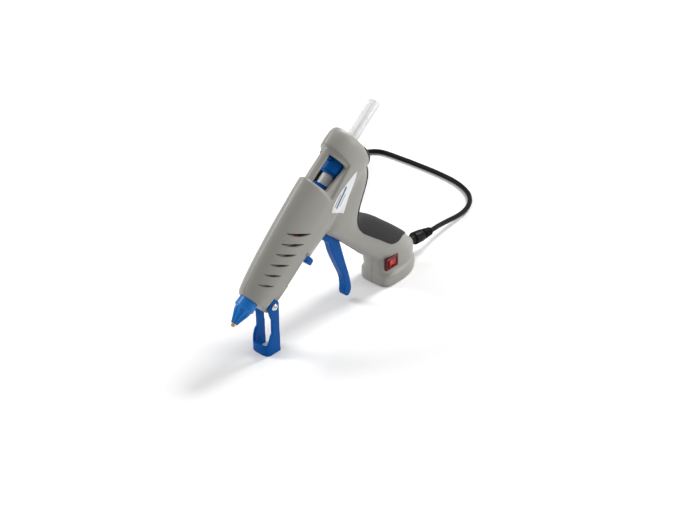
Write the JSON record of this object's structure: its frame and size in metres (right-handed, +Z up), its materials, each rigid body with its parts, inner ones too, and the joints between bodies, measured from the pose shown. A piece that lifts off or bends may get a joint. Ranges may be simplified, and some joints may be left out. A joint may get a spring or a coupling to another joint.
{
  "type": "hot melt glue gun",
  "caption": "Trigger-fed hot melt glue gun with a slanted vented barrel, viewing window, fold-out front stand, rubber handle grip, rocker switch and mains cord.",
  "frame": {"origin": "centre of the box around the gun without its cord, at the surface it stands on", "axes": "+Z up, -X towards the nozzle, +X towards the cord, -Y the gun's own left side (switch, label)"},
  "size_m": [0.3934, 0.2104, 0.1948],
  "materials": {
    "left_shell": "warm grey, fine moulded texture",
    "right_shell": "warm grey, fine moulded texture",
    "soft_grip": "dark grey soft overmould, matte",
    "label": "white printed label",
    "nozzle_sleeve": "blue silicone, satin",
    "nozzle_tip": "machined",
    "valve_ball": "polished",
    "valve_spring": "drawn wire",
    "melt_chamber": "cast",
    "heater_plate": "ceramic, matte",
    "heater_clip": "spring steel",
    "inlet_sleeve": "silicone, matte",
    "front_guide": "satin moulded",
    "feed_carriage": "satin moulded",
    "trigger": "satin moulded",
    "stand": "satin moulded",
    "stand_catch": "satin moulded",
    "grip_lever": "stamped",
    "glue_stick": "milky translucent hot-melt adhesive",
    "trigger_pin": "ground",
    "trigger_spring": "drawn wire",
    "shell_screw_1": "zinc plated",
    "shell_screw_2": "zinc plated",
    "shell_screw_3": "zinc plated",
    "shell_screw_4": "zinc plated",
    "shell_screw_5": "zinc plated",
    "shell_screw_6": "zinc plated",
    "stand_screw_left": "zinc plated",
    "stand_screw_right": "zinc plated",
    "clamp_screw_lower": "zinc plated",
    "clamp_screw_upper": "zinc plated",
    "switch_body": "dark red",
    "switch_rocker": "red, translucent when lit",
    "strain_relief": "matte",
    "cord_clamp": "moulded",
    "cord": "matte cord sheath",
    "cord_inner": "matte cord sheath",
    "cord_tail": "matte cord sheath",
    "cord_hank": "matte cord sheath",
    "lead_neutral": "insulated wire",
    "lead_live": "insulated wire",
    "lead_switch": "insulated wire",
    "hank_tie": "twist tie",
    "plug_body": "moulded",
    "plug_blade_left": "plated",
    "plug_blade_right": "plated"
  },
  "bodies": {
    "casing": {"left_shell": "left_shell", "right_shell": "right_shell", "soft_grip": "soft_grip", "label": "label", "nozzle_sleeve": "nozzle_sleeve", "nozzle_tip": "nozzle_tip", "valve_spring": "valve_spring", "melt_chamber": "melt_chamber", "heater_plate": "heater_plate", "heater_clip": "heater_clip", "inlet_sleeve": "inlet_sleeve", "front_guide": "front_guide", "trigger_pin": "trigger_pin", "trigger_spring": "trigger_spring", "shell_screw_1": "shell_screw_1", "shell_screw_2": "shell_screw_2", "shell_screw_3": "shell_screw_3", "shell_screw_4": "shell_screw_4", "shell_screw_5": "shell_screw_5", "shell_screw_6": "shell_screw_6", "stand_screw_left": "stand_screw_left", "stand_screw_right": "stand_screw_right", "switch_body": "switch_body", "strain_relief": "strain_relief", "cord_clamp": "cord_clamp", "clamp_screw_lower": "clamp_screw_lower", "clamp_screw_upper": "clamp_screw_upper", "cord_inner": "cord_inner", "lead_neutral": "lead_neutral", "lead_live": "lead_live", "lead_switch": "lead_switch", "cord": "cord", "cord_hank": "cord_hank", "cord_tail": "cord_tail", "hank_tie": "hank_tie", "plug_body": "plug_body", "plug_blade_left": "plug_blade_left", "plug_blade_right": "plug_blade_right"},
    "trigger": {"trigger": "trigger"},
    "carriage": {"feed_carriage": "feed_carriage"},
    "lever": {"grip_lever": "grip_lever"},
    "stick": {"glue_stick": "glue_stick"},
    "stand": {"stand": "stand"},
    "catch": {"stand_catch": "stand_catch"},
    "rocker": {"switch_rocker": "switch_rocker"},
    "valve": {"valve_ball": "valve_ball"}
  },
  "joints": [
    {"name": "trigger_pivot", "type": "hinge", "parent": "casing", "child": "trigger", "pos_m": [-0.01657, 0, 0.093], "axis": [0, -1, 0], "range_deg": [0, 18], "stiffness_Nm_per_rad": 0.3, "springref_deg": -17.19},
    {"name": "carriage_slide", "type": "slide", "parent": "casing", "child": "carriage", "axis": [-0.788, 0, -0.6157], "range_m": [0, 0.00655]},
    {"name": "stick_feed", "type": "slide", "parent": "casing", "child": "stick", "axis": [-0.788, 0, -0.6157], "range_m": [0, 0.00655]},
    {"name": "lever_pivot", "type": "hinge", "parent": "carriage", "child": "lever", "pos_m": [-0.00933, 0, 0.15818], "axis": [0, -1, 0], "range_deg": [0, 5.5]},
    {"name": "stand_pivot", "type": "hinge", "parent": "casing", "child": "stand", "pos_m": [-0.09461, 0, 0.04967], "axis": [0, -1, 0], "range_deg": [0, 128]},
    {"name": "catch_slide", "type": "slide", "parent": "casing", "child": "catch", "axis": [-0.6157, 0, 0.788], "range_m": [0, 0.0015], "stiffness_N_per_m": 300, "springref_m": -0.002},
    {"name": "switch_rock", "type": "hinge", "parent": "casing", "child": "rocker", "pos_m": [0.05773, -0.0158, 0.0255], "axis": [0, 0, 1], "range_deg": [-16, 0]},
    {"name": "valve_lift", "type": "slide", "parent": "casing", "child": "valve", "axis": [-0.788, 0, -0.6157], "range_m": [0, 0.0006], "stiffness_N_per_m": 100, "springref_m": -0.001}
  ],
  "couplings": [
    {"joint": "carriage_slide", "follows": "trigger_pivot", "m_per_rad": 0.02044},
    {"joint": "stick_feed", "follows": "trigger_pivot", "m_per_rad": 0.02044},
    {"joint": "lever_pivot", "follows": "trigger_pivot", "ratio": 0.3}
  ]
}
